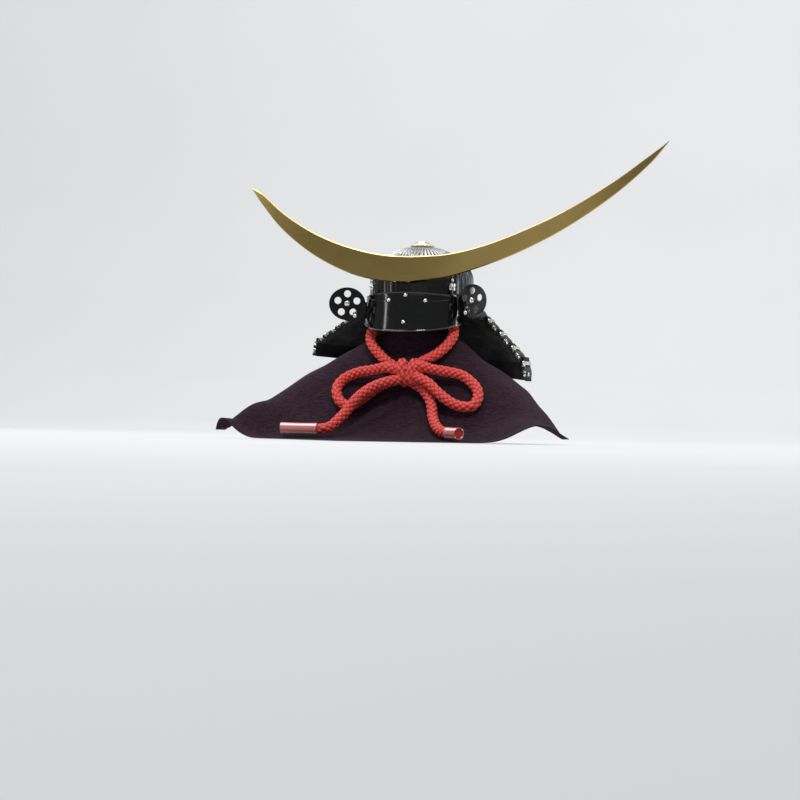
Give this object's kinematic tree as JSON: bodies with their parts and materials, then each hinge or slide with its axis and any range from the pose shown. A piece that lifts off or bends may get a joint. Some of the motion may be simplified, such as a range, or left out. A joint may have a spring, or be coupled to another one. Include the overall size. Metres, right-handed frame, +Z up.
{
  "type": "samurai helmet on a cloth-covered display stand",
  "caption": "Ribbed samurai helmet with crescent crest, turned-back plates, laced neck guard and tied red chin cord, on a plain stand under a crepe cloth.",
  "frame": {"origin": "centre of the stand's flat base, on the surface it stands on", "axes": "+Z up, the helmet faces -Y, +X is the viewer's right when facing it"},
  "size_m": [0.4498, 0.3853, 0.3095],
  "materials": {
    "black_lacquer": "glossy black lacquer",
    "lame_lacquer": "glossy black lacquer with silvered scale heads and dark green lacing",
    "pale_gold": "satin pale gold plate",
    "pale_brass": "brushed pale brass with bright edges",
    "silver_rivet": "bright silver",
    "red_braid": "chunky round silk braid",
    "clear_sleeve": "translucent pale pink tube over the cord's end",
    "crepe_cloth": "dark aubergine silk crepe",
    "plain_wood": "plain planed wood"
  },
  "bodies": {
    "root": {"bowl": "black_lacquer", "bowl_band": "black_lacquer", "bowl_rivet_1": "silver_rivet", "bowl_rivet_2": "silver_rivet", "bowl_rivet_3": "silver_rivet", "bowl_rivet_4": "silver_rivet", "bowl_stud_1": "silver_rivet", "bowl_stud_2": "silver_rivet", "bowl_stud_3": "silver_rivet", "bowl_stud_4": "silver_rivet", "chin_cord_knot": "red_braid", "chin_cord_loop_left": "red_braid", "chin_cord_loop_right": "red_braid", "chin_cord_neck": "red_braid", "chin_cord_tail_left": "red_braid", "chin_cord_tail_right": "red_braid", "cord_sleeve_left": "clear_sleeve", "cord_sleeve_right": "clear_sleeve", "crescent_crest": "pale_brass", "crest_holder": "black_lacquer", "crown_fitting": "pale_gold", "helmet_post": "plain_wood", "lame_rivet_left": "silver_rivet", "lame_rivet_right": "silver_rivet", "neck_lame_1": "lame_lacquer", "neck_lame_2": "lame_lacquer", "neck_lame_3": "lame_lacquer", "neck_lame_4": "lame_lacquer", "neck_lame_5": "lame_lacquer", "stand": "plain_wood", "stand_cloth": "crepe_cloth", "turnback_hub_left": "silver_rivet", "turnback_hub_right": "silver_rivet", "turnback_left": "black_lacquer", "turnback_right": "black_lacquer", "turnback_rivet_left": "silver_rivet", "turnback_rivet_right": "silver_rivet", "visor": "black_lacquer", "visor_rim": "black_lacquer", "visor_rivet_1": "silver_rivet", "visor_rivet_2": "silver_rivet", "visor_rivet_3": "silver_rivet", "visor_rivet_4": "silver_rivet"}
  },
  "joints": []
}
